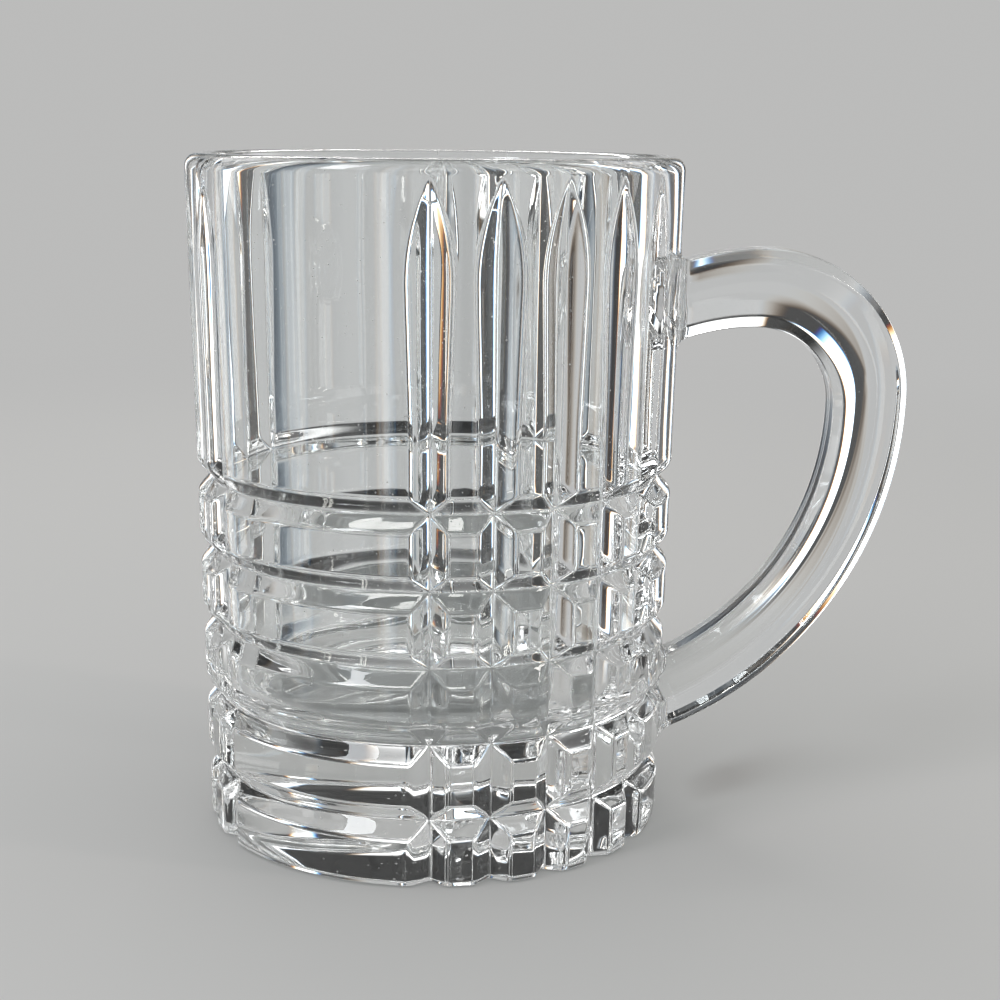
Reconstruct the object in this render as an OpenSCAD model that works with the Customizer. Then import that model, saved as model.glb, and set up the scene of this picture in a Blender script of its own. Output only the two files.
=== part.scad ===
// Cut glass beer mug: a heavy vessel with ring grooves, upright grooves and plain panels,
// and an applied handle that is fused to it at two seats. Millimetres, +Z up, with the origin
// at the middle of the flat underside and the handle towards +X.

/* [Vessel] */
// Height from the table to the top of the rim
mug_h = 124; // [112:1:150]
// Outside diameter at the table
base_d = 85.4; // [78:0.2:96]
// Outside diameter at the rim
rim_d = 90.6; // [82:0.2:104]
// Thickness of the wall between the plain outside and the cavity
wall = 5; // [4:0.1:7]
// Thickness of the solid glass under the cavity
base_t = 24; // [12:0.5:34]
// Radius between the cavity floor and the cavity wall
floor_r = 8; // [3:0.5:14]
// Radius of the polished bottom edge
foot_r = 1.2; // [0.4:0.1:2]

/* [Grooves] */
// Depth of the ring grooves and of the lower part of the upright grooves
groove_depth = 2.6; // [1:0.1:3]
// Height of a ring groove at the surface
ring_w = 5.8; // [3:0.1:8]
// Height of the valley of the lowest ring groove
ring_z = 11.8; // [8:0.1:16]
// Distance from one ring groove to the next
ring_pitch = 13.5; // [11:0.1:15]
// Number of ring grooves
ring_count = 5; // [2:1:5]
// Number of wide plain panels round the mug, one of them behind the handle
panel_count = 3; // [2:1:4]
// Number of narrow columns between two plain panels
column_count = 4; // [2:1:5]
// Angle that one narrow column takes up
column_angle = 15; // [12:0.5:16]
// Width of the lower part of an upright groove at the surface
flute_w = 6.6; // [3:0.1:8]
// Distance from the rim down to the pointed top of an upright groove
flute_drop = 2.8; // [2:0.1:8]
// Distance from the rim down to the deepest place of an upright groove
petal_drop = 21; // [16:0.5:28]
// Depth of an upright groove at that place
petal_depth = 3.2; // [3:0.1:3.6]
// Distance from the rim down to the height above which an upright groove deepens
waist_drop = 44; // [38:0.5:50]

/* [Handle] */
// How far the handle stands out from the rim
handle_reach = 41.8; // [36:0.2:54]
// Distance from the rim down to the top of the handle
handle_drop = 16.4; // [10:0.2:24]
// Thickness of the handle at the top of its bow
bow_t = 14.4; // [11:0.1:17]
// Thickness of the handle at the outermost side of its bow
side_t = 13.5; // [10:0.1:15]
// Width of the handle
grip_w = 13; // [12:0.1:18]
// Width of the handle's section at its shoulders
shoulder_w = 11.4; // [8:0.1:11.8]
// Height of the narrow flat band along each side of the handle, at the top of the bow
band_t = 2.6; // [2:0.1:4]
// Width of the flat outer and inner faces of the handle
flat_w = 7; // [3:0.1:8]
// Depth of the bevels beside those flat faces
bevel_t = 2.4; // [1:0.1:3]
// Radius of the outer face between the upper seat and the bow
rise_outer_r = 48; // [42:1:60]
// Radius of the inner face between the upper seat and the bow
rise_inner_r = 41; // [36:1:52]
// Radius of the bow's outer face
bow_outer_r = 26.5; // [22:0.1:32]
// Radius of the bow's inner face
bow_inner_r = 14.5; // [10:0.1:16]
// Radius of the leg's outer face
leg_outer_r = 70.1; // [60:0.1:80]
// Radius of the leg's inner face
leg_inner_r = 54; // [44:0.1:60]

/* [Hidden] */
$fn = 96;

// How far a cutter reaches past the surface that it cuts
past = 1.5;
glass = [0.84, 0.89, 0.91, 0.6];

// Plain outside radius at a height
function outer_r(z) = (base_d + (rim_d - base_d) * z / mug_h) / 2;
// Height of a ring groove's valley
function ring_height(i) = ring_z + i * ring_pitch;

// Lean of the plain outside from upright
lean = atan((rim_d - base_d) / 2 / mug_h);
// The lip is rounded over the whole wall
lip_r = wall / 2;
lip_z = mug_h - lip_r;
lip_x = outer_r(lip_z) - lip_r;
// Top of the round corner inside the base
floor_z = base_t + floor_r;

// An upright groove deepens along a straight line, then runs out along an arc
waist_z = mug_h - waist_drop;
petal_z = mug_h - petal_drop;
petal_l = petal_drop - flute_drop;
deepening = atan((petal_depth - groove_depth) / (petal_z - waist_z));
deepening_l = (petal_z - waist_z) / cos(deepening);
runout_r = (petal_depth * petal_depth + petal_l * petal_l)
    / (2 * (petal_depth * cos(deepening) + petal_l * sin(deepening)));
runout_angle = deepening + acos(cos(deepening) - (petal_depth + past) / runout_r);
panel_step = 360 / panel_count;
panel_angle = panel_step - column_count * column_angle;

// Middles of the bow's outer and inner faces
handle_x = outer_r(mug_h) + handle_reach;
handle_z = mug_h - handle_drop;
bow_outer = [handle_x - bow_outer_r, handle_z - bow_outer_r];
bow_inner = [handle_x - side_t - bow_inner_r, handle_z - bow_t - bow_inner_r];
// How far the handle widens for each millimetre from its shoulders to the bands along its sides
side_slope = 2 * (grip_w - shoulder_w) / (bow_t - band_t - 2 * bevel_t);
// How far the outer and the inner half of the handle reach through each other
half_t = max(bow_t, side_t) + past;
// How far from the axis the handle's ends stop, before they are cut to the vessel's outside
end_x = outer_r(0) - groove_depth - bow_t / 2;

// Half outline of the vessel's outside with its ring grooves
module outside_section() {
    rings = [
        for (i = [0 : ring_count - 1])
            for (step = [-1 : 1])
                let (z = ring_height(i) + step * ring_w / 2)
                    [outer_r(z) - (step == 0 ? groove_depth : 0), z]
    ];
    polygon(concat([[0, 0], [outer_r(0), 0]], rings, [[outer_r(mug_h), mug_h], [0, mug_h]]));
}

// Half section of the vessel with its cavity, lip and bottom edge
module vessel_section() {
    difference() {
        outside_section();
        cavity_section();
        lip_waste();
        foot_waste();
    }
}

// Half section of the cavity
module cavity_section() {
    polygon([
        [0, floor_z],
        [outer_r(floor_z) - wall, floor_z],
        [outer_r(mug_h + past) - wall, mug_h + past],
        [0, mug_h + past]
    ]);
    translate([0, base_t])
        square([outer_r(floor_z) - wall - floor_r, floor_r]);
    translate([outer_r(floor_z) - wall - floor_r, floor_z])
        circle(floor_r);
}

// Glass that rounding the lip takes away
module lip_waste() {
    difference() {
        translate([lip_x - lip_r - past, lip_z])
            square([wall + 2 * past, lip_r + past]);
        translate([lip_x, lip_z])
            circle(lip_r);
    }
}

// Glass that rounding the bottom edge takes away
module foot_waste() {
    difference() {
        translate([outer_r(0) - foot_r, -past])
            square([foot_r + past, foot_r + past]);
        translate([outer_r(0) - foot_r, foot_r])
            circle(foot_r);
    }
}

// Outline of an upright groove, its valley at the origin and its mouth towards +X
module flute_outline() {
    reach = petal_depth + past;
    half = flute_w / 2 * reach / groove_depth;
    polygon([[0, 0], [reach, -half], [reach, half]]);
}

// Cutter for one upright groove in the +X direction: the lower part, the deepening part and the run-out
module flute_cutter() {
    translate([outer_r(0), 0, 0])
        rotate([0, lean, 0])
            translate([-groove_depth, 0, 0]) {
                translate([0, 0, -past])
                    linear_extrude(petal_z + past)
                        flute_outline();
                translate([0, 0, waist_z])
                    rotate([0, -deepening, 0]) {
                        linear_extrude(deepening_l)
                            flute_outline();
                        translate([runout_r, 0, deepening_l])
                            rotate([-90, 0, 0])
                                rotate([0, 0, 180])
                                    rotate_extrude(angle = runout_angle)
                                        translate([runout_r, 0])
                                            mirror([1, 0])
                                                flute_outline();
                    }
            }
}

// All the upright grooves
module flutes() {
    for (panel = [0 : panel_count - 1])
        for (column = [0 : column_count])
            rotate([0, 0, panel * panel_step + panel_angle / 2 + column * column_angle])
                flute_cutter();
}

// Section of one half of the handle: its flat face at a radius, its glass inwards (side 1) or outwards (side -1)
module half_section(radius, side) {
    end_w = shoulder_w + side_slope * (half_t - bevel_t);
    polygon([
        [radius, -flat_w / 2],
        [radius - side * bevel_t, -shoulder_w / 2],
        [radius - side * half_t, -end_w / 2],
        [radius - side * half_t, end_w / 2],
        [radius - side * bevel_t, shoulder_w / 2],
        [radius, flat_w / 2]
    ]);
}

// Rise, bow and leg behind the outer face (side 1) or the inner face (side -1) of the handle
module half_run(bow, rise_r, bow_r, leg_r, side) {
    leg_x = bow[0] + bow_r - leg_r;
    rotate([90, 0, 0]) {
        translate([bow[0], bow[1] + bow_r - rise_r])
            rotate([0, 0, 90])
                rotate_extrude(angle = asin((bow[0] - end_x) / rise_r))
                    half_section(rise_r, side);
        translate(bow)
            rotate_extrude(angle = 90)
                half_section(bow_r, side);
        translate([leg_x, bow[1]])
            mirror([0, 1, 0])
                rotate_extrude(angle = acos((end_x - leg_x) / leg_r))
                    half_section(leg_r, side);
    }
}

// Vessel of clear glass, cut all round
module body() {
    color(glass)
        difference() {
            rotate_extrude()
                vessel_section();
            flutes();
        }
}

// Applied handle, cut to the vessel's outside where it is fused on, so it fills the ring groove there
module handle() {
    color(glass)
        difference() {
            intersection() {
                half_run(bow_outer, rise_outer_r, bow_outer_r, leg_outer_r, 1);
                half_run(bow_inner, rise_inner_r, bow_inner_r, leg_inner_r, -1);
                translate([0, -grip_w / 2, 0])
                    cube([handle_x + past, grip_w, mug_h]);
            }
            rotate_extrude()
                outside_section();
        }
}

body();
handle();
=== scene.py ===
"""Cut glass beer mug, dressed: the vessel and its applied handle, modelled and finished in clear glass.

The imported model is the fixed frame. Shapes are worked out in millimetres, as in the part's source,
and each finished mesh is scaled to metres.
"""

import logging
import math
from collections.abc import Callable
from dataclasses import dataclass, field
from enum import Enum
from functools import partial

import bmesh
import bpy
from mathutils import Matrix, Vector, noise


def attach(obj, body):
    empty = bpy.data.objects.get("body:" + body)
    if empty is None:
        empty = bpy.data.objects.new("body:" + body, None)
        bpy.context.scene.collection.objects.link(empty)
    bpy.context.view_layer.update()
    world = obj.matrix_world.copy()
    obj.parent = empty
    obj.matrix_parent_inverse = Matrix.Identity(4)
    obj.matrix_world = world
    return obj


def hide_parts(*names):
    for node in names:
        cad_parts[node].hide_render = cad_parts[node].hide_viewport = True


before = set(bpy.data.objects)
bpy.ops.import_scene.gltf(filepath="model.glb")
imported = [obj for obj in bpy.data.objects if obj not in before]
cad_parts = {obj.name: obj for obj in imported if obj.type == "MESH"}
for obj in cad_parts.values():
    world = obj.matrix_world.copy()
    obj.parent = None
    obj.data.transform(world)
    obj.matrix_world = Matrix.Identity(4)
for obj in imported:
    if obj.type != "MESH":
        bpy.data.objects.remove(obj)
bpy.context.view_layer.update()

LOG = logging.getLogger("mug")
MM = 0.001
BODY = "root"
SEAM = 1  # place of the seam's finish in a piece's list of materials
RUNOUT_PASSES = 3
SEAT_PASSES = 40
SECTION_LAYERS = ("out", "side")


def smooth_larger(a: float, b: float, blend: float) -> float:
    """The larger of two values, rounded over where they are nearly equal.

    Args:
        a: first value.
        b: second value.
        blend: difference below which the rounding acts.

    Returns:
        The rounded larger value.
    """
    near = max(blend - abs(a - b), 0.0)
    return max(a, b) + near * near / (4 * blend)


def eased(value: float, low: float, high: float) -> float:
    """How far a value has come on the way from a low one to a high one, eased at both.

    Args:
        value: the value.
        low: start of the way.
        high: end of the way.

    Returns:
        The share of the way, from 0 to 1.
    """
    share = min(max((value - low) / (high - low), 0.0), 1.0)
    return share * share * (3 - 2 * share)


def spread(start: float, end: float, gap: float) -> set[float]:
    """Even steps between two values, both left out.

    Args:
        start: first value.
        end: last value.
        gap: largest step.

    Returns:
        The values between them.
    """
    count = math.ceil((end - start) / gap)
    return {start + (end - start) * k / count for k in range(1, count)}


def finished_object(name: str, bm: bmesh.types.BMesh) -> bpy.types.Object:
    """Turns a mesh built in millimetres into a smooth shaded object in metres.

    Args:
        name: name of the piece.
        bm: the closed mesh, which is freed.

    Returns:
        The object, at the origin, unturned and unscaled.
    """
    bmesh.ops.recalc_face_normals(bm, faces=bm.faces)
    bmesh.ops.scale(bm, vec=(MM, MM, MM), verts=bm.verts)
    for face in bm.faces:
        face.smooth = True
    mesh = bpy.data.meshes.new(name)
    bm.to_mesh(mesh)
    bm.free()
    piece = bpy.data.objects.new(name, mesh)
    bpy.context.scene.collection.objects.link(piece)
    return piece


def outside_of(planes: list[tuple[Vector, Vector]], face: bmesh.types.BMFace) -> float:
    """How far the middle of a finished piece's face lies outside a ring of planes.

    Args:
        planes: a place on each plane, in millimetres, and its outward direction.
        face: the face, in metres.

    Returns:
        The distance in millimetres, below 0 inside all the planes.
    """
    middle = face.calc_center_median() / MM
    return max((middle - place).dot(way) for place, way in planes)


class Zone(Enum):
    """The surface of the vessel that a point of its section belongs to."""

    UNDERSIDE = "underside"
    OUTSIDE = "outside"
    LIP = "lip"
    CAVITY = "cavity"


@dataclass(frozen=True)
class SectionPoint:
    """A point of the vessel's half section, in millimetres."""

    radius: float
    height: float
    zone: Zone


@dataclass(frozen=True)
class Column:
    """An upright line of the vessel's mesh: its angle, and its distance from there along the surface."""

    angle: float
    offset: float


@dataclass
class CutPattern:
    """The ring grooves and upright grooves that are cut into the vessel, in millimetres and degrees."""

    depth: float = 2.6
    ring_half: float = 2.9
    ring_height: float = 11.8
    ring_pitch: float = 13.5
    ring_count: int = 5
    panel_count: int = 3
    column_count: int = 4
    column_angle: float = 15.0
    flute_half: float = 3.3
    flute_mouth: float = 3.16
    waist_height: float = 80.0
    petal_height: float = 103.0
    petal_depth: float = 3.2
    tip_height: float = 121.2
    valley_round: float = 0.14
    hip_round: float = 0.55
    hip_valley_round: float = 0.12
    edge_round: float = 0.5
    narrowest: float = 0.3

    def __post_init__(self) -> None:
        """Works out the arc of the run-outs and the angles of the upright grooves."""
        rise = self.tip_height - self.petal_height
        lean = math.atan2(self.petal_depth - self.depth, self.petal_height - self.waist_height)
        self.runout_radius = (self.petal_depth**2 + rise**2) / (
            2 * (self.petal_depth * math.cos(lean) + rise * math.sin(lean))
        )
        self.runout_height = self.petal_height + self.runout_radius * math.sin(lean)
        self.runout_out = self.runout_radius * math.cos(lean) - self.petal_depth
        panel_step = 360 / self.panel_count
        first = (panel_step - self.column_count * self.column_angle) / 2
        self.flute_angles = [
            math.radians(panel * panel_step + first + column * self.column_angle)
            for panel in range(self.panel_count)
            for column in range(self.column_count + 1)
        ]

    def ring_heights(self) -> list[float]:
        """Heights of the valleys of the ring grooves."""
        return [self.ring_height + i * self.ring_pitch for i in range(self.ring_count)]

    def runout_cut(self, across: float, height: float) -> float:
        """Depth that the run-out of an upright groove takes.

        Args:
            across: distance from the middle of the groove.
            height: height above the underside.

        Returns:
            The depth below the plain outside, far below 0 past the tip.
        """
        wheel = self.runout_radius - across * self.depth / self.flute_half
        rise = height - self.runout_height
        return math.sqrt(max(wheel**2 - rise**2, 0.0)) - self.runout_out

    def valley(self, height: float) -> float:
        """Depth of an upright groove's valley.

        Args:
            height: height above the underside.

        Returns:
            The depth below the plain outside, below 0 above the tip.
        """
        if height > self.petal_height:
            return self.runout_cut(0.0, height)
        share = (height - self.waist_height) / (self.petal_height - self.waist_height)
        return self.depth + (self.petal_depth - self.depth) * max(share, 0.0)

    def mouth(self, height: float) -> float:
        """Half the width of an upright groove at the surface, never less than the narrowest."""
        return self.flute_mouth * max(self.valley(height) / self.depth, self.narrowest)

    def ring_cut(self, height: float) -> float:
        """Depth that the nearest ring groove cuts at a height, below 0 outside its mouth."""
        nearest = min(abs(height - ring) for ring in self.ring_heights())
        return self.depth * (1 - math.hypot(nearest, self.valley_round) / self.ring_half)

    def flute_cut(self, angle: float, height: float, plain_radius: float) -> float:
        """Depth that the nearest upright groove cuts at a place, below 0 outside its mouth.

        Args:
            angle: angle round the vessel.
            height: height above the underside.
            plain_radius: radius of the plain outside at that height.

        Returns:
            The depth below the plain outside, measured towards the axis.
        """
        turn = min(abs(math.remainder(angle - flute, math.tau)) for flute in self.flute_angles)
        across = math.hypot(math.sin(turn), self.valley_round / plain_radius)
        if height > self.petal_height:
            radius = plain_radius
            for _ in range(RUNOUT_PASSES):
                radius = (plain_radius - self.runout_cut(radius * across, height)) / math.cos(turn)
            return plain_radius - radius
        slope = self.depth / self.flute_half
        return plain_radius - (plain_radius - self.valley(height)) / (math.cos(turn) - slope * across)

    def cut(self, angle: float, height: float, plain_radius: float) -> float:
        """Depth of the cut glass below the plain outside, with its hips and edges rounded.

        Args:
            angle: angle round the vessel.
            height: height above the underside.
            plain_radius: radius of the plain outside at that height.

        Returns:
            The depth, 0 on the plain outside.
        """
        ring, flute = self.ring_cut(height), self.flute_cut(angle, height, plain_radius)
        share = min(max(ring, flute, 0.0) / self.depth, 1.0)
        hip = self.hip_round + (self.hip_valley_round - self.hip_round) * share
        edge = self.edge_round * min(self.mouth(height) / self.flute_mouth, 1.0)
        return smooth_larger(smooth_larger(ring, flute, hip), 0.0, edge)


@dataclass
class Vessel:
    """The heavy glass vessel, in millimetres: a spun section whose outside is moved in by the cuts."""

    height: float = 124.0
    base_radius: float = 42.7
    rim_radius: float = 45.3
    wall: float = 5.0
    base_thickness: float = 24.0
    floor_radius: float = 8.0
    foot_radius: float = 1.2
    wave_height: float = 0.05
    wave_length: float = 17.0
    pattern: CutPattern = field(default_factory=CutPattern)
    # Places of mesh lines across a groove, as shares of its half width, close at its valley and edges
    line_shares: tuple[float, ...] = (
        0, 0.035, 0.09, 0.22, 0.42, 0.62, 0.78, 0.86, 0.93, 1.0, 1.07, 1.14, 1.24,
    )
    panel_line_gap: float = 3.4
    block_line_gap: float = 1.6
    seat_line_gap: float = 1.25
    seat_start: float = 87.0
    runout_line_gap: float = 1.35
    tip_line_gaps: tuple[float, ...] = (0, 0.2, 0.45, 0.8)
    straight_line_gap: float = 6.0
    cavity_line_gap: float = 9.6
    lip_lines: int = 10
    corner_lines: int = 9
    foot_lines: int = 4
    underside_shares: tuple[float, ...] = (0, 0.3, 0.6, 0.87)
    floor_shares: tuple[float, ...] = (0.66, 0.33, 0)
    merge_gap: float = 0.001

    def outside_radius(self, height: float) -> float:
        """Radius of the plain outside at a height."""
        return self.base_radius + (self.rim_radius - self.base_radius) * height / self.height

    def surface_radius(self, angle: float, height: float) -> float:
        """Radius of the cut outside at an angle and a height."""
        plain = self.outside_radius(height)
        return plain - self.pattern.cut(angle, height, plain)

    def near_outside(self, place: Vector) -> bool:
        """Whether a place, in millimetres, is too near the outside to be on the cavity or the underside."""
        depth = self.outside_radius(place.z) - math.hypot(place.x, place.y)
        return depth < (self.wall + self.pattern.depth) / 2

    def outside_heights(self) -> list[float]:
        """Heights of the mesh's rings up the outside, close together at the grooves and run-outs.

        Returns:
            The heights from the foot to the lip, in order.
        """
        cuts = self.pattern
        heights = {
            ring + side * share * cuts.ring_half
            for ring in cuts.ring_heights()
            for share in self.line_shares
            for side in (-1, 1)
        }
        edge = self.line_shares[-1] * cuts.ring_half
        lowest = cuts.ring_height - edge
        highest = cuts.ring_heights()[-1] + edge
        lip = self.height - self.wall / 2
        heights |= spread(self.foot_radius, lowest, self.panel_line_gap)
        for ring in cuts.ring_heights()[:-1]:
            heights |= spread(ring + edge, ring + cuts.ring_pitch - edge, self.block_line_gap)
        heights |= spread(highest, self.seat_start, self.straight_line_gap)
        heights |= spread(self.seat_start, cuts.tip_height, self.runout_line_gap)
        heights |= {cuts.tip_height - gap for gap in self.tip_line_gaps}
        heights |= {self.seat_start, self.foot_radius, lip}
        return sorted(heights)

    def columns(self) -> list[Column]:
        """Upright lines of the mesh round the vessel, close together at the upright grooves.

        Returns:
            The columns in order of their angle.
        """
        cuts = self.pattern
        edge = self.line_shares[-1] * cuts.flute_mouth
        radius = (self.base_radius + self.rim_radius) / 2
        columns = []
        for i, flute in enumerate(cuts.flute_angles):
            offsets = sorted(
                {side * share * cuts.flute_mouth for share in self.line_shares for side in (-1, 1)}
            )
            columns += [Column(flute, offset) for offset in offsets]
            following = cuts.flute_angles[(i + 1) % len(cuts.flute_angles)]
            step = (following - flute) % math.tau
            holds_handle = abs(math.remainder(flute + step / 2, math.tau)) < step / 4
            gap = self.seat_line_gap if holds_handle else self.panel_line_gap
            count = math.ceil((step * radius - 2 * edge) / gap)
            columns += [
                Column(flute + step * k / count, edge * (1 - 2 * k / count))
                for k in range(1, count)
            ]
        return columns

    def section(self) -> list[SectionPoint]:
        """Half section of the vessel, from the middle of its underside to the middle of its cavity floor.

        Returns:
            The points in order.
        """
        foot, lip = self.foot_radius, self.wall / 2
        foot_start = self.outside_radius(0) - foot
        points = [
            SectionPoint(share * foot_start, 0, Zone.UNDERSIDE) for share in self.underside_shares
        ]
        points += [
            SectionPoint(foot_start + foot * math.sin(turn), foot - foot * math.cos(turn), Zone.OUTSIDE)
            for turn in (math.pi / 2 * k / self.foot_lines for k in range(self.foot_lines))
        ]
        points += [
            SectionPoint(self.outside_radius(z), z, Zone.OUTSIDE) for z in self.outside_heights()
        ]
        lip_height = self.height - lip
        lip_middle = self.outside_radius(lip_height) - lip
        points += [
            SectionPoint(
                lip_middle + lip * math.cos(turn), lip_height + lip * math.sin(turn), Zone.LIP
            )
            for turn in (math.pi * k / self.lip_lines for k in range(1, self.lip_lines))
        ]
        corner = self.floor_radius
        corner_height = self.base_thickness + corner
        corner_middle = self.outside_radius(corner_height) - self.wall - corner
        walls = sorted(spread(corner_height, lip_height, self.cavity_line_gap), reverse=True)
        points += [
            SectionPoint(self.outside_radius(z) - self.wall, z, Zone.CAVITY)
            for z in [lip_height, *walls]
        ]
        points += [
            SectionPoint(
                corner_middle + corner * math.cos(turn),
                corner_height - corner * math.sin(turn),
                Zone.CAVITY,
            )
            for turn in (math.pi / 2 * k / self.corner_lines for k in range(self.corner_lines + 1))
        ]
        points += [
            SectionPoint(share * corner_middle, self.base_thickness, Zone.CAVITY)
            for share in self.floor_shares
        ]
        return points

    def placed(self, point: SectionPoint, column: Column) -> Vector:
        """Where a point of the section lies on a column, with the cuts and the pressed glass's waves.

        Args:
            point: the point of the half section.
            column: the upright line of the mesh.

        Returns:
            The place in millimetres.
        """
        cuts = self.pattern
        narrowing = 1.0
        if point.zone is Zone.OUTSIDE:
            narrowing = cuts.mouth(point.height) / cuts.flute_mouth
        elif point.zone is Zone.LIP:
            crossed = (self.outside_radius(point.height) - point.radius) / self.wall
            tip = cuts.mouth(point.height) / cuts.flute_mouth
            narrowing = tip + (1 - tip) * min(max(crossed, 0.0), 1.0)
        angle = column.angle + column.offset * narrowing / self.outside_radius(point.height)
        radius = point.radius
        if point.zone is Zone.OUTSIDE:
            radius -= cuts.cut(angle, point.height, self.outside_radius(point.height))
        place = Vector((radius * math.cos(angle), radius * math.sin(angle), point.height))
        if point.zone is Zone.CAVITY:
            wave = self.wave_height * noise.noise(place / self.wave_length)
            place += Vector((math.cos(angle), math.sin(angle), 0)) * wave
        return place

    def build(self) -> bpy.types.Object:
        """Spins the section round the axis and moves its points to the cut glass's surface.

        Returns:
            The vessel's object.
        """
        section, columns = self.section(), self.columns()
        bm = bmesh.new()
        row = bm.verts.layers.int.new("row")
        chain = [bm.verts.new((point.radius, 0, point.height)) for point in section]
        for i, vert in enumerate(chain):
            vert[row] = i
        edges = [bm.edges.new(pair) for pair in zip(chain, chain[1:])]
        bmesh.ops.spin(
            bm, geom=chain + edges, cent=(0, 0, 0), axis=(0, 0, 1), angle=math.tau,
            steps=len(columns), use_merge=True,
        )
        step = math.tau / len(columns)
        for vert in bm.verts:
            column = columns[round(math.atan2(vert.co.y, vert.co.x) / step) % len(columns)]
            vert.co = self.placed(section[vert[row]], column)
        bmesh.ops.remove_doubles(bm, verts=bm.verts, dist=self.merge_gap)
        self.crease_hips(bm)
        bm.verts.layers.int.remove(row)
        return finished_object("vessel", bm)

    def crease_hips(self, bm: bmesh.types.BMesh) -> None:
        """Splits the faces at the groove crossings along the hips, so that the stars stay crisp.

        Args:
            bm: the vessel's mesh, in millimetres.
        """
        cuts = self.pattern
        crossings = []
        for face in bm.faces:
            place = face.calc_center_median()
            if len(face.verts) != 4 or not self.near_outside(place):
                continue
            plain = self.outside_radius(place.z)
            flute = cuts.flute_cut(math.atan2(place.y, place.x), place.z, plain)
            if min(cuts.ring_cut(place.z), flute) > -cuts.hip_round:
                crossings.append(face)
        bmesh.ops.triangulate(bm, faces=crossings, quad_method="LONG_EDGE", ngon_method="BEAUTY")


@dataclass(frozen=True)
class FaceRadii:
    """Radii of the handle's outer or inner face along its rise, its bow and its leg, in millimetres."""

    rise: float
    bow: float
    leg: float


@dataclass(frozen=True)
class FaceLine:
    """Middle line of the handle's outer or inner face, in millimetres: a rise, a bow and a leg, all arcs."""

    bow_x: float
    bow_z: float
    radii: FaceRadii

    def arc(self, turn: float) -> tuple[float, float, float]:
        """Middle and radius of the arc on which the line's outward way stands at an angle above +X.

        Args:
            turn: the angle, over a right angle on the rise and below 0 on the leg.

        Returns:
            The middle's x and z, and the radius.
        """
        radii = self.radii
        if turn > math.pi / 2:
            return self.bow_x, self.bow_z + radii.bow - radii.rise, radii.rise
        if turn < 0:
            return self.bow_x + radii.bow - radii.leg, self.bow_z, radii.leg
        return self.bow_x, self.bow_z, radii.bow

    def place(self, turn: float, out: float) -> Vector:
        """A place at a distance outwards from the line, where its outward way stands at this angle."""
        x, z, radius = self.arc(turn)
        return Vector((x + (radius + out) * math.cos(turn), 0, z + (radius + out) * math.sin(turn)))


@dataclass(frozen=True)
class SeatEnd:
    """Where one end of the handle starts to run on to the vessel, and an angle that lies inside it."""

    start: float
    inside: float


@dataclass(frozen=True)
class SeatStep:
    """One ring of a seat: its share of the way to the vessel, its turn of the fillet and its scale."""

    share: float = 1.0
    flare: float = 0.0
    scale: float = 1.0


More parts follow.
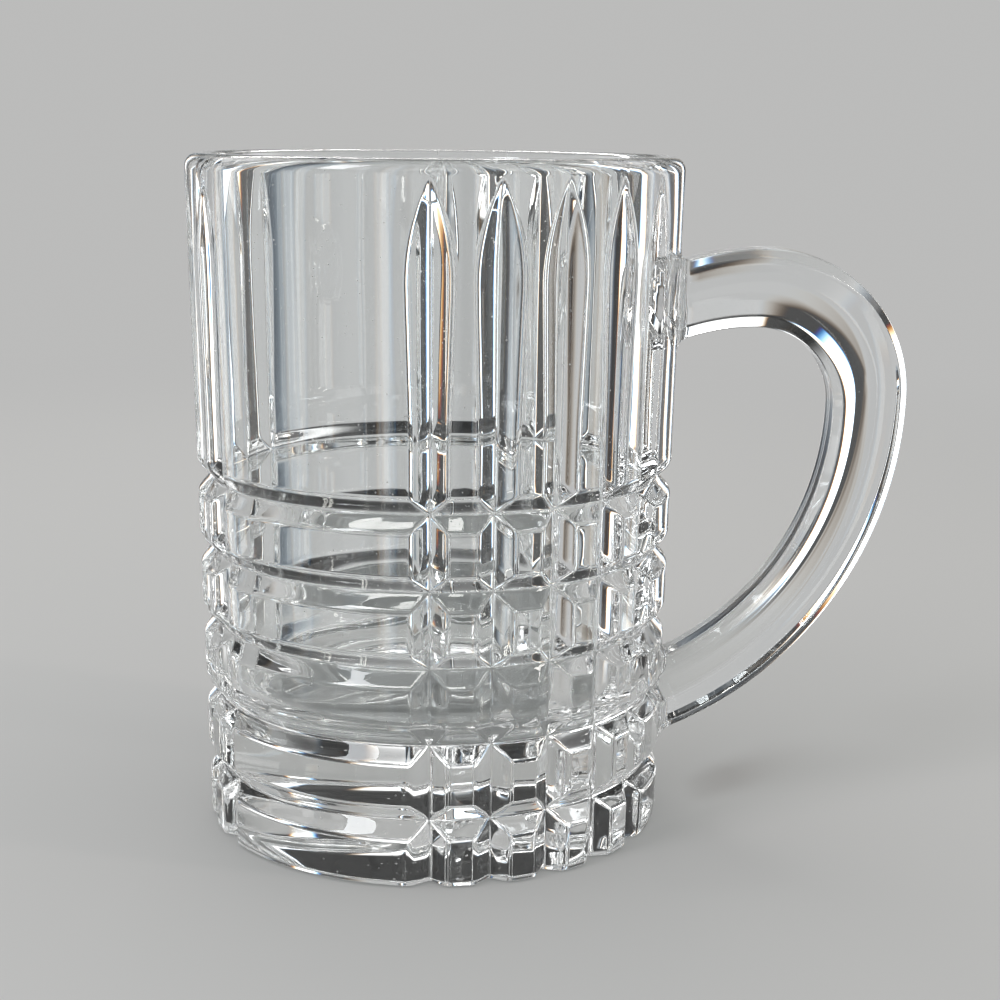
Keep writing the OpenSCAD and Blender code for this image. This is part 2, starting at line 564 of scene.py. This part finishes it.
@dataclass
class Handle:
    """The applied handle, in millimetres and degrees: a tapering twelve-sided bar, bowed and fused on.

    A section has two coordinates, outwards and sideways from its middle, as at the top of the bow. Where
    the bar is thinner, only the flat bands along its sides are narrower. The bevels narrow from the top of
    the bow to its side, and stay narrow down the leg.
    """

    vessel: Vessel
    reach: float = 41.8
    drop: float = 16.4
    bow_depth: float = 14.4
    side_depth: float = 13.5
    width: float = 13.0
    band: float = 2.6
    shoulder: float = 11.4
    flat: float = 7.0
    bevel: float = 2.4
    leg_bevel_share: float = 0.65
    bevel_turn: tuple[float, float] = (35.0, 85.0)
    outer_radii: FaceRadii = FaceRadii(rise=48.0, bow=26.5, leg=70.1)
    inner_radii: FaceRadii = FaceRadii(rise=41.0, bow=14.5, leg=54.0)
    upper_end: SeatEnd = SeatEnd(start=90, inside=130)
    lower_end: SeatEnd = SeatEnd(start=-44, inside=-80)
    corner_round: float = 0.4
    corner_margin: float = 0.12
    corner_segments: int = 4
    bow_steps: int = 42
    leg_steps: int = 40
    end_steps: int = 8
    fillet: float = 1.8
    fillet_steps: int = 6
    seat_gap: float = 0.04
    seam_share: float = 0.8
    seam_reach: float = 3.0
    seam_snap: float = 0.05
    cap_shares: tuple[float, ...] = (0.84, 0.67, 0.5, 0.33, 0.16)
    merge_gap: float = 0.0001

    def __post_init__(self) -> None:
        """Works out the lines of the outer and the inner face."""
        far, top = self.vessel.rim_radius + self.reach, self.vessel.height - self.drop
        bow = self.outer_radii.bow
        self.outer = FaceLine(far - bow, top - bow, self.outer_radii)
        bow = self.inner_radii.bow
        self.inner = FaceLine(far - self.side_depth - bow, top - self.bow_depth - bow, self.inner_radii)

    def narrowed(self, out: float, side: float, turn: float) -> tuple[float, float]:
        """Where a point of the section goes as the bevels narrow, and the flat faces and sloping sides grow.

        Args:
            out: the point's place outwards in the section, at the top of the bow.
            side: the point's place sideways there.
            turn: the section's angle above +X.

        Returns:
            Its places outwards and sideways at that angle.
        """
        share = eased(math.degrees(turn), *self.bevel_turn)
        kept = self.leg_bevel_share + (1 - self.leg_bevel_share) * share
        half, band = self.bow_depth / 2, self.band / 2
        depth, slope = half - abs(out), half - band - self.bevel
        if depth <= self.bevel:
            depth *= kept
        elif depth < half - band:
            depth = self.bevel * kept + (depth - self.bevel) * (1 + self.bevel * (1 - kept) / slope)
        flat, shoulder, across = self.flat / 2, self.shoulder / 2, abs(side)
        if across <= flat:
            across *= 1 + (shoulder - flat) * (1 - kept) / flat
        elif across < shoulder:
            across = shoulder - (shoulder - across) * kept
        return math.copysign(half - depth, out), math.copysign(across, side)

    def placed(self, out: float, side: float, turn: float) -> Vector:
        """Where a point of the bar's section lies, with the section at an angle above +X.

        Args:
            out: the point's place outwards in the section, at the top of the bow.
            side: the point's place sideways in the section.
            turn: the section's angle.

        Returns:
            The place in millimetres.
        """
        return self.swept(*self.narrowed(out, side, turn), turn)

    def swept(self, out: float, side: float, turn: float) -> Vector:
        """Where a point lies that keeps its distance from the outer or the inner face.

        Args:
            out: the point's place outwards in the section.
            side: the point's place sideways in the section.
            turn: the section's angle.

        Returns:
            The place in millimetres.
        """
        half, band = self.bow_depth / 2, self.band / 2
        outer = self.outer.place(turn, max(out, band) - half)
        inner = self.inner.place(turn, min(out, -band) + half)
        place = inner.lerp(outer, min(max(out / self.band + 0.5, 0.0), 1.0))
        place.y = side
        return place

    def seat_turn(self, out: float, side: float, end: SeatEnd) -> float:
        """At which angle a line of the section meets the vessel.

        Args:
            out: the line's place outwards in the section.
            side: the line's place sideways in the section.
            end: the handle's end.

        Returns:
            The angle, in radians.
        """
        clear, inside = math.radians(end.start), math.radians(end.inside)
        for _ in range(SEAT_PASSES):
            middle = (clear + inside) / 2
            place = self.swept(out, side, middle)
            surface = self.vessel.surface_radius(math.atan2(place.y, place.x), place.z)
            if math.hypot(place.x, place.y) > surface + self.seat_gap:
                clear = middle
            else:
                inside = middle
        return clear

    def corners(self) -> list[tuple[float, float]]:
        """Works out the corners of the twelve-sided section.

        Returns:
            Their places outwards and sideways from its middle, in order.
        """
        half = self.bow_depth / 2
        side = [
            (half, self.flat / 2),
            (half - self.bevel, self.shoulder / 2),
            (self.band / 2, self.width / 2),
            (-self.band / 2, self.width / 2),
            (self.bevel - half, self.shoulder / 2),
            (-half, self.flat / 2),
        ]
        return [(turn * out, turn * along) for turn in (1, -1) for out, along in side]

    def section_ring(self, bm: bmesh.types.BMesh) -> None:
        """Draws the section's outline with flat sides and rounded corners.

        Args:
            bm: the empty mesh, which gets the outline with outwards along X and sideways along Y.
        """
        places = [Vector((out, side, 0)) for out, side in self.corners()]
        corners, ring = [], []
        for here, ahead in zip(places, places[1:] + places[:1]):
            margin = (self.corner_round + self.corner_margin) / (ahead - here).length
            side = [bm.verts.new(here.lerp(ahead, share)) for share in (0, margin, 0.5, 1 - margin)]
            corners.append(side[0])
            ring += side
        bm.faces.new(ring)
        bmesh.ops.bevel(
            bm, geom=corners, offset=self.corner_round, offset_type="OFFSET", affect="VERTICES",
            segments=self.corner_segments, profile=0.5, material=-1,
        )
        bmesh.ops.delete(bm, geom=list(bm.faces), context="FACES_ONLY")

    def build(self) -> bpy.types.Object:
        """Runs the section over the bow and down the leg, then fuses both ends to the vessel.

        Returns:
            The handle's object.
        """
        bm = bmesh.new()
        self.section_ring(bm)
        loop = list(bm.edges)
        out, side = (bm.verts.layers.float.new(name) for name in SECTION_LAYERS)
        for vert in bm.verts:
            vert[out], vert[side] = vert.co.x, vert.co.y
            vert.co = self.placed(vert[out], vert[side], 0)
        for end, steps in ((self.upper_end, self.bow_steps), (self.lower_end, self.leg_steps)):
            ring = loop
            for k in range(1, steps + 1):
                turn = math.radians(end.start) * k / steps
                ring, _ = self.run_on(bm, ring, partial(self.placed, turn=turn))
            self.fuse(bm, ring, end)
        bmesh.ops.remove_doubles(bm, verts=bm.verts, dist=self.merge_gap)
        return finished_object("handle_bar", bm)

    def run_on(
        self, bm: bmesh.types.BMesh, ring: list[bmesh.types.BMEdge], where: Callable[[float, float], Vector]
    ) -> tuple[list[bmesh.types.BMEdge], list[bmesh.types.BMFace]]:
        """Extrudes the ring of edges at an open end and moves the new points to their places.

        Args:
            bm: the handle's mesh.
            ring: the edges.
            where: gives a point's place from its two section coordinates.

        Returns:
            The edges of the new ring, and the faces between the two.
        """
        out, side = (bm.verts.layers.float[name] for name in SECTION_LAYERS)
        made = bmesh.ops.extrude_edge_only(bm, edges=ring)["geom"]
        for vert in (v for v in made if isinstance(v, bmesh.types.BMVert)):
            vert.co = where(vert[out], vert[side])
        edges = [e for e in made if isinstance(e, bmesh.types.BMEdge)]
        return edges, [f for f in made if isinstance(f, bmesh.types.BMFace)]

    def fused(self, out: float, side: float, end: SeatEnd, step: SeatStep) -> Vector:
        """Where a point of the section lies in one ring of a seat.

        Args:
            out: the point's place outwards in the section.
            side: the point's place sideways in the section.
            end: the handle's end.
            step: the ring.

        Returns:
            The place in millimetres.
        """
        start, inside = math.radians(end.start), math.radians(end.inside)
        out, side = self.narrowed(out, side, start)
        grown = step.scale * (1 + self.fillet * (1 - math.cos(step.flare)) / math.hypot(out, side))
        out, side = out * grown, side * grown
        radius = (self.outer.arc(inside)[2] + self.inner.arc(inside)[2]) / 2
        back = self.fillet * (1 - math.sin(step.flare)) / radius
        seat = self.seat_turn(out, side, end) - math.copysign(back, inside)
        return self.swept(out, side, start + (seat - start) * step.share)

    def fuse(self, bm: bmesh.types.BMesh, ring: list[bmesh.types.BMEdge], end: SeatEnd) -> None:
        """Runs one end of the handle on to the vessel, with a small fillet, and closes it there.

        Args:
            bm: the handle's mesh.
            ring: edges of the end's ring.
            end: which end it is.
        """
        square = math.pi / 2
        steps = [SeatStep(share=k / self.end_steps) for k in range(1, self.end_steps)]
        steps += [SeatStep(flare=square * k / self.fillet_steps) for k in range(self.fillet_steps + 1)]
        steps += [SeatStep(flare=square, scale=scale) for scale in self.cap_shares]
        seam = []
        for step in steps:
            ring, faces = self.run_on(bm, ring, partial(self.fused, end=end, step=step))
            if step.scale < 1:
                seam += faces
        cap = bmesh.ops.edgeloop_fill(bm, edges=ring)["faces"]
        seam += bmesh.ops.poke(bm, faces=cap)["faces"]
        for face in seam:
            face.material_index = SEAM

    def seat_planes(self, end: SeatEnd) -> list[tuple[Vector, Vector]]:
        """Planes along the sides of one of the handle's ends, where it meets the vessel with its fillet.

        Args:
            end: the handle's end.

        Returns:
            A place on each plane, in millimetres, and the plane's outward direction.
        """
        turn = self.seat_turn(0, 0, end)
        outwards = Vector((math.cos(turn), 0, math.sin(turn)))
        corners = [self.narrowed(out, side, math.radians(end.start)) for out, side in self.corners()]
        planes = []
        for (out, side), (next_out, next_side) in zip(corners, corners[1:] + corners[:1]):
            way = (outwards * (next_side - side) + Vector((0, out - next_out, 0))).normalized()
            planes.append((self.swept(out, side, turn) + way * self.fillet * self.seam_share, way))
        return planes

    def seam_on(self, piece: bpy.types.Object) -> None:
        """Cuts the vessel's faces along the handle's ends and gives those inside the seam's finish.

        Args:
            piece: the vessel's object.
        """
        bm = bmesh.new()
        bm.from_mesh(piece.data)
        for end in (self.upper_end, self.lower_end):
            planes = self.seat_planes(end)
            faces = [
                face for face in bm.faces
                if self.on_outside(face) and outside_of(planes, face) < self.seam_reach
            ]
            for place, way in planes:
                edges = {edge for face in faces for edge in face.edges}
                verts = {vert for face in faces for vert in face.verts}
                cut = bmesh.ops.bisect_plane(
                    bm, geom=[*verts, *edges, *faces], dist=self.seam_snap * MM,
                    plane_co=place * MM, plane_no=way,
                )
                faces = [made for made in cut["geom"] if isinstance(made, bmesh.types.BMFace)]
            for face in faces:
                if outside_of(planes, face) < 0:
                    face.material_index = SEAM
        bm.to_mesh(piece.data)
        bm.free()

    def on_outside(self, face: bmesh.types.BMFace) -> bool:
        """Whether a face of the finished vessel, in metres, lies on its outside, on the handle's half."""
        place = face.calc_center_median() / MM
        return place.x > 0 and self.vessel.near_outside(place)


@dataclass
class NodeSheet:
    """A node tree and the means to fill it."""

    tree: bpy.types.NodeTree

    def add(self, kind: str, **settings: object) -> bpy.types.Node:
        """Adds a node.

        Args:
            kind: type of the node.
            settings: its properties by name.

        Returns:
            The node.
        """
        node = self.tree.nodes.new(kind)
        for name, value in settings.items():
            setattr(node, name, value)
        return node

    def feed(self, socket: bpy.types.NodeSocket, value: object) -> None:
        """Links a socket to an output, or sets its plain value.

        Args:
            socket: the input socket.
            value: the output, or the value.
        """
        if isinstance(value, bpy.types.NodeSocket):
            self.tree.links.new(value, socket)
        else:
            socket.default_value = value

    def maths(self, operation: str, *values: object) -> bpy.types.NodeSocket:
        """Adds a Math node.

        Args:
            operation: what it works out.
            values: its inputs, as outputs of other nodes or plain values.

        Returns:
            Its output.
        """
        node = self.add("ShaderNodeMath", operation=operation)
        for socket, value in zip(node.inputs, values):
            self.feed(socket, value)
        return node.outputs[0]

    def ranged(
        self, value: bpy.types.NodeSocket, span: tuple[float, float], to_low: float, to_high: float
    ) -> bpy.types.NodeSocket:
        """Adds a smooth Map Range node.

        Args:
            value: the output that it reads.
            span: the values between which it changes.
            to_low: its result below them.
            to_high: its result above them.

        Returns:
            Its output.
        """
        node = self.add("ShaderNodeMapRange", interpolation_type="SMOOTHSTEP")
        for socket, amount in zip(node.inputs, (value, *span, to_low, to_high)):
            self.feed(socket, amount)
        return node.outputs["Result"]

    def mixed(
        self, share: bpy.types.NodeSocket, first: bpy.types.NodeSocket, second: bpy.types.NodeSocket
    ) -> bpy.types.NodeSocket:
        """Adds a Mix Shader node.

        Args:
            share: how much of the second shader it takes.
            first: the first shader.
            second: the second shader.

        Returns:
            Its output.
        """
        node = self.add("ShaderNodeMixShader")
        for socket, value in zip(node.inputs, (share, first, second)):
            self.feed(socket, value)
        return node.outputs["Shader"]

    def seen_by_glass(self) -> bpy.types.NodeSocket:
        """Adds a mask of the rays that glass reflects or lets through.

        Returns:
            The mask, 1 for those rays.
        """
        path = self.add("ShaderNodeLightPath").outputs
        return self.maths("MAXIMUM", path["Is Glossy Ray"], path["Is Transmission Ray"])


@dataclass(frozen=True)
class HandledMarks:
    """Marks that use leaves on glass: faint smears, dried drops and dust, all as roughness."""

    name: str = "handled marks"
    smear_scale: float = 45.0
    smear_detail: float = 4.0
    smear_distortion: float = 1.2
    smear_span: tuple[float, float] = (0.55, 0.8)
    dust_scale: float = 420.0
    dust_span: tuple[float, float] = (0.05, 0.09)
    wave_scale: float = 70.0
    wave_detail: float = 1.0

    def group(self) -> bpy.types.NodeTree:
        """Builds the node group that gives the roughness and the height of the surface's waves.

        Returns:
            The group, with the inputs Smears and Dust and the outputs Roughness and Waves.
        """
        tree = bpy.data.node_groups.new(self.name, "ShaderNodeTree")
        for socket in ("Smears", "Dust"):
            tree.interface.new_socket(socket, in_out="INPUT", socket_type="NodeSocketFloat")
        for socket in ("Roughness", "Waves"):
            tree.interface.new_socket(socket, in_out="OUTPUT", socket_type="NodeSocketFloat")
        sheet = NodeSheet(tree)
        given = sheet.add("NodeGroupInput")
        place = sheet.add("ShaderNodeTexCoord").outputs["Object"]
        smears = sheet.add("ShaderNodeTexNoise")
        sheet.feed(smears.inputs["Vector"], place)
        smears.inputs["Scale"].default_value = self.smear_scale
        smears.inputs["Detail"].default_value = self.smear_detail
        smears.inputs["Distortion"].default_value = self.smear_distortion
        smeared = sheet.ranged(smears.outputs["Fac"], self.smear_span, 0, 1)
        dust = sheet.add("ShaderNodeTexVoronoi", feature="F1")
        sheet.feed(dust.inputs["Vector"], place)
        dust.inputs["Scale"].default_value = self.dust_scale
        dusty = sheet.ranged(dust.outputs["Distance"], self.dust_span, 1, 0)
        rough = sheet.maths(
            "ADD",
            sheet.maths("MULTIPLY", smeared, given.outputs["Smears"]),
            sheet.maths("MULTIPLY", dusty, given.outputs["Dust"]),
        )
        waves = sheet.add("ShaderNodeTexNoise")
        sheet.feed(waves.inputs["Vector"], place)
        waves.inputs["Scale"].default_value = self.wave_scale
        waves.inputs["Detail"].default_value = self.wave_detail
        put = sheet.add("NodeGroupOutput")
        sheet.feed(put.inputs["Roughness"], rough)
        sheet.feed(put.inputs["Waves"], waves.outputs["Fac"])
        return tree


@dataclass(frozen=True)
class ClearGlass:
    """Clear pressed glass, cut and polished, that lets a little lamp light through to the floor."""

    name: str
    smears: float
    dust: float
    wave_strength: float
    tint: tuple[float, float, float, float] = (0.975, 0.988, 0.985, 1)
    ior: float = 1.54
    shadow: tuple[float, float, float, float] = (0.9, 0.91, 0.91, 1)

    def material(self, marks: bpy.types.NodeTree) -> bpy.types.Material:
        """Builds the material.

        Args:
            marks: the group of handled marks.

        Returns:
            The glass.
        """
        glass = bpy.data.materials.new(self.name)
        glass.use_nodes = True
        glass.node_tree.nodes.clear()
        sheet = NodeSheet(glass.node_tree)
        worn = sheet.add("ShaderNodeGroup", node_tree=marks)
        worn.inputs["Smears"].default_value = self.smears
        worn.inputs["Dust"].default_value = self.dust
        bump = sheet.add("ShaderNodeBump")
        bump.inputs["Strength"].default_value = self.wave_strength
        bump.inputs["Distance"].default_value = MM
        sheet.feed(bump.inputs["Height"], worn.outputs["Waves"])
        shader = sheet.add("ShaderNodeBsdfPrincipled")
        shader.inputs["Base Color"].default_value = self.tint
        shader.inputs["Metallic"].default_value = 0
        shader.inputs["IOR"].default_value = self.ior
        shader.inputs["Transmission Weight"].default_value = 1
        sheet.feed(shader.inputs["Roughness"], worn.outputs["Roughness"])
        sheet.feed(shader.inputs["Normal"], bump.outputs["Normal"])
        through = sheet.add("ShaderNodeBsdfTransparent")
        through.inputs["Color"].default_value = self.shadow
        shadow = sheet.add("ShaderNodeLightPath").outputs["Is Shadow Ray"]
        mixed = sheet.mixed(shadow, shader.outputs["BSDF"], through.outputs["BSDF"])
        sheet.feed(sheet.add("ShaderNodeOutputMaterial").inputs["Surface"], mixed)
        return glass


@dataclass(frozen=True)
class FusedSeam:
    """The place inside the glass where the handle and the vessel run together, which bends no light."""

    name: str = "fused seam"

    def material(self) -> bpy.types.Material:
        """Builds the material.

        Returns:
            The seam's finish.
        """
        seam = bpy.data.materials.new(self.name)
        seam.use_nodes = True
        shader = seam.node_tree.nodes["Principled BSDF"]
        shader.inputs["Roughness"].default_value = 0
        shader.inputs["IOR"].default_value = 1
        shader.inputs["Transmission Weight"].default_value = 1
        return seam


@dataclass(frozen=True)
class SoftLamp:
    """A rectangular soft light, in metres and watts."""

    name: str
    place: tuple[float, float, float]
    size: tuple[float, float]
    power: float
    colour: tuple[float, float, float]
    target: tuple[float, float, float] = (0, 0, 0.06)

    def build(self) -> None:
        """Places the light, turned to its target and unseen by the camera itself."""
        lamp = bpy.data.lights.new(self.name, "AREA")
        lamp.shape = "RECTANGLE"
        lamp.size, lamp.size_y = self.size
        lamp.energy = self.power
        lamp.color = self.colour
        holder = bpy.data.objects.new(self.name, lamp)
        holder.location = self.place
        way = Vector(self.target) - Vector(self.place)
        holder.rotation_euler = way.to_track_quat("-Z", "Y").to_euler()
        holder.visible_camera = False
        bpy.context.scene.collection.objects.link(holder)


@dataclass
class Studio:
    """The pale floor, the soft surroundings, the lights and the camera, in metres and degrees.

    The edges of the panels, strips and softboxes are degrees from the middle of the nearest panel, and their
    bottoms and tops are sines of the elevation.
    """

    pale: float = 0.5
    pale_blue: float = 0.495
    floor_colour: tuple[float, float, float, float] = (0.72, 0.72, 0.715, 1)
    floor_drop: float = 0.15 * MM
    floor_radius: float = 6.0
    floor_segments: int = 96
    floor_fade: tuple[float, float] = (0.2, 0.7)
    floor_edge: tuple[float, float] = (0.09, 0.2)
    gap: float = 0.03
    strip: float = 2.2
    softbox: float = 1.6
    overhead: float = 0.03
    fill: float = 0.75
    fringe: float = 0.25
    panels: int = 8
    panel_edge: tuple[float, float] = (9.5, 14.5)
    strip_edge: tuple[float, float] = (18.8, 20.8)
    wall_top: tuple[float, float] = (0.16, 0.3)
    softbox_edge: tuple[float, float] = (11.5, 15.5)
    softbox_bottom: tuple[float, float] = (0.4, 0.48)
    softbox_top: tuple[float, float] = (0.66, 0.76)
    bounces: int = 32
    glossy_bounces: int = 16
    lens: float = 66.65
    sensor: float = 36.0
    view_start: float = 0.01
    view_end: float = 50.0
    camera_place: tuple[float, float, float] = (0.0078, -0.3421, 0.1301)
    heading: float = 0.74
    pitch: float = -11.61
    roll: float = 0.56
    lamps: tuple[SoftLamp, ...] = (
        SoftLamp("key", place=(-0.55, -0.5, 0.75), size=(0.2, 0.5), power=3.0, colour=(0.94, 0.97, 1.0)),
        SoftLamp("side", place=(0.7, -0.25, 0.5), size=(0.04, 0.6), power=1.2, colour=(1.0, 0.96, 0.9)),
        SoftLamp("back", place=(-0.15, 0.7, 0.6), size=(0.5, 0.05), power=1.4, colour=(1.0, 0.98, 0.95)),
    )

    def build(self) -> None:
        """Builds the whole studio and sets how the scene is viewed."""
        self.build_floor()
        self.build_world()
        for lamp in self.lamps:
            lamp.build()
        self.build_camera()
        scene = bpy.context.scene
        scene.view_settings.view_transform = "Standard"
        scene.cycles.max_bounces = self.bounces
        scene.cycles.transmission_bounces = self.bounces
        scene.cycles.glossy_bounces = self.glossy_bounces
        scene.cycles.transparent_max_bounces = self.bounces
        scene.cycles.caustics_reflective = False
        scene.cycles.caustics_refractive = False
        scene.cycles.use_denoising = True

    def pale_colour(self) -> tuple[float, float, float, float]:
        """Colour of the background."""
        return self.pale, self.pale, self.pale_blue, 1

    def build_floor(self) -> None:
        """Lays a round pale floor that fades into the background colour away from the mug."""
        bm = bmesh.new()
        bmesh.ops.create_circle(bm, cap_ends=True, segments=self.floor_segments, radius=self.floor_radius)
        mesh = bpy.data.meshes.new("floor")
        bmesh.ops.translate(bm, vec=(0, 0, -self.floor_drop), verts=bm.verts)
        bm.to_mesh(mesh)
        bm.free()
        floor = bpy.data.objects.new("floor", mesh)
        bpy.context.scene.collection.objects.link(floor)
        pale = bpy.data.materials.new("pale floor")
        pale.use_nodes = True
        pale.node_tree.nodes.clear()
        sheet = NodeSheet(pale.node_tree)
        matt = sheet.add("ShaderNodeBsdfDiffuse")
        matt.inputs["Color"].default_value = self.floor_colour
        glow = sheet.add("ShaderNodeEmission")
        glow.inputs["Color"].default_value = self.pale_colour()
        open_floor = sheet.add("ShaderNodeBsdfTransparent").outputs["BSDF"]
        length = sheet.add("ShaderNodeVectorMath", operation="LENGTH")
        sheet.feed(length.inputs[0], sheet.add("ShaderNodeTexCoord").outputs["Object"])
        away = length.outputs["Value"]
        fade = sheet.ranged(away, self.floor_fade, 0, 1)
        faded = sheet.mixed(fade, matt.outputs["BSDF"], glow.outputs["Emission"])
        beyond = sheet.maths("MULTIPLY", sheet.seen_by_glass(), sheet.ranged(away, self.floor_edge, 0, 1))
        mixed = sheet.mixed(beyond, faded, open_floor)
        sheet.feed(sheet.add("ShaderNodeOutputMaterial").inputs["Surface"], mixed)
        floor.data.materials.append(pale)

    def build_world(self) -> None:
        """Surrounds the mug with pale panels, narrow bright strips between them and a lit ceiling."""
        world = bpy.data.worlds.new("surroundings")
        bpy.context.scene.world = world
        world.use_nodes = True
        world.node_tree.nodes.clear()
        sheet = NodeSheet(world.node_tree)
        way = sheet.add("ShaderNodeSeparateXYZ")
        sheet.feed(way.inputs[0], sheet.add("ShaderNodeTexCoord").outputs["Generated"])
        azimuth = sheet.maths("ARCTAN2", way.outputs["Y"], way.outputs["X"])
        turned = sheet.maths("MULTIPLY", azimuth, math.degrees(1))
        joined = sheet.add("ShaderNodeCombineColor")
        for socket, side in zip(joined.inputs, (1, 0, -1)):
            shifted = sheet.maths("ADD", turned, side * self.fringe + 360)
            across = sheet.maths("PINGPONG", shifted, 180 / self.panels)
            sheet.feed(socket, self.surroundings(sheet, across, way.outputs["Z"]))
        seen = sheet.add("ShaderNodeBackground")
        sheet.feed(seen.inputs["Color"], joined.outputs[0])
        plain = sheet.add("ShaderNodeBackground")
        plain.inputs["Color"].default_value = self.pale_colour()
        diffuse = sheet.add("ShaderNodeLightPath").outputs["Is Diffuse Ray"]
        sheet.feed(plain.inputs["Strength"], sheet.ranged(diffuse, (0, 1), 1, self.fill))
        mixed = sheet.mixed(sheet.seen_by_glass(), plain.outputs["Background"], seen.outputs["Background"])
        sheet.feed(sheet.add("ShaderNodeOutputWorld").inputs["Surface"], mixed)

    def surroundings(
        self, sheet: NodeSheet, across: bpy.types.NodeSocket, height: bpy.types.NodeSocket
    ) -> bpy.types.NodeSocket:
        """How bright the glass sees its surroundings in one colour.

        Args:
            sheet: the world's nodes.
            across: degrees from the middle of the nearest panel.
            height: sine of the elevation.

        Returns:
            The brightness.
        """
        panel = sheet.ranged(across, self.panel_edge, self.pale, self.gap)
        strip = sheet.ranged(across, self.strip_edge, 0, self.strip)
        below = sheet.ranged(height, self.wall_top, 1, 0)
        walls = sheet.maths("MULTIPLY", sheet.maths("ADD", panel, strip), below)
        level = sheet.maths(
            "MULTIPLY",
            sheet.ranged(height, self.softbox_bottom, 0, 1),
            sheet.ranged(height, self.softbox_top, 1, 0),
        )
        box = sheet.ranged(across, self.softbox_edge, self.softbox, self.gap)
        softbox = sheet.maths("MULTIPLY", box, level)
        return sheet.maths("ADD", sheet.maths("ADD", walls, softbox), self.overhead)

    def build_camera(self) -> None:
        """Places the camera at the photograph's viewing angle."""
        heading, pitch, roll = (math.radians(a) for a in (self.heading, self.pitch, self.roll))
        ahead = Vector(
            (math.sin(heading) * math.cos(pitch), math.cos(heading) * math.cos(pitch), math.sin(pitch))
        )
        level = Vector((math.cos(heading), -math.sin(heading), 0))
        above = level.cross(ahead)
        right = level * math.cos(roll) + above * math.sin(roll)
        up = above * math.cos(roll) - level * math.sin(roll)
        lens = bpy.data.cameras.new("camera")
        lens.lens = self.lens
        lens.sensor_width = self.sensor
        lens.clip_start, lens.clip_end = self.view_start, self.view_end
        camera = bpy.data.objects.new("camera", lens)
        turn = Matrix((right, up, -ahead)).transposed().to_4x4()
        camera.matrix_world = Matrix.Translation(Vector(self.camera_place)) @ turn
        bpy.context.scene.collection.objects.link(camera)
        bpy.context.scene.camera = camera


def place_piece(
    piece: bpy.types.Object, node: str, glass: bpy.types.Material, seam: bpy.types.Material
) -> None:
    """Dresses a piece and puts it in the place of its CAD node.

    Args:
        piece: the modelled piece.
        node: the CAD node that it stands for.
        glass: its finish.
        seam: the finish of its faces inside the joined glass.
    """
    for finish in (glass, seam):
        piece.data.materials.append(finish)
    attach(piece, BODY)
    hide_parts(node)
    piece.data.calc_loop_triangles()
    LOG.info("%s stands for %s: %d triangles", piece.name, node, len(piece.data.loop_triangles))


def main() -> None:
    """Builds the studio, the vessel and the handle."""
    logging.basicConfig(level=logging.INFO, format="%(name)s: %(message)s")
    Studio().build()
    marks = HandledMarks().group()
    vessel = Vessel()
    handle = Handle(vessel)
    vessel_glass = ClearGlass("vessel glass", smears=0.05, dust=0.3, wave_strength=0.02)
    handle_glass = ClearGlass("handle glass", smears=0.035, dust=0.2, wave_strength=0.015)
    seam = FusedSeam().material()
    vessel_piece, handle_piece = vessel.build(), handle.build()
    handle.seam_on(vessel_piece)
    place_piece(vessel_piece, "body", vessel_glass.material(marks), seam)
    place_piece(handle_piece, "handle", handle_glass.material(marks), seam)


if __name__ == "__main__":
    main()
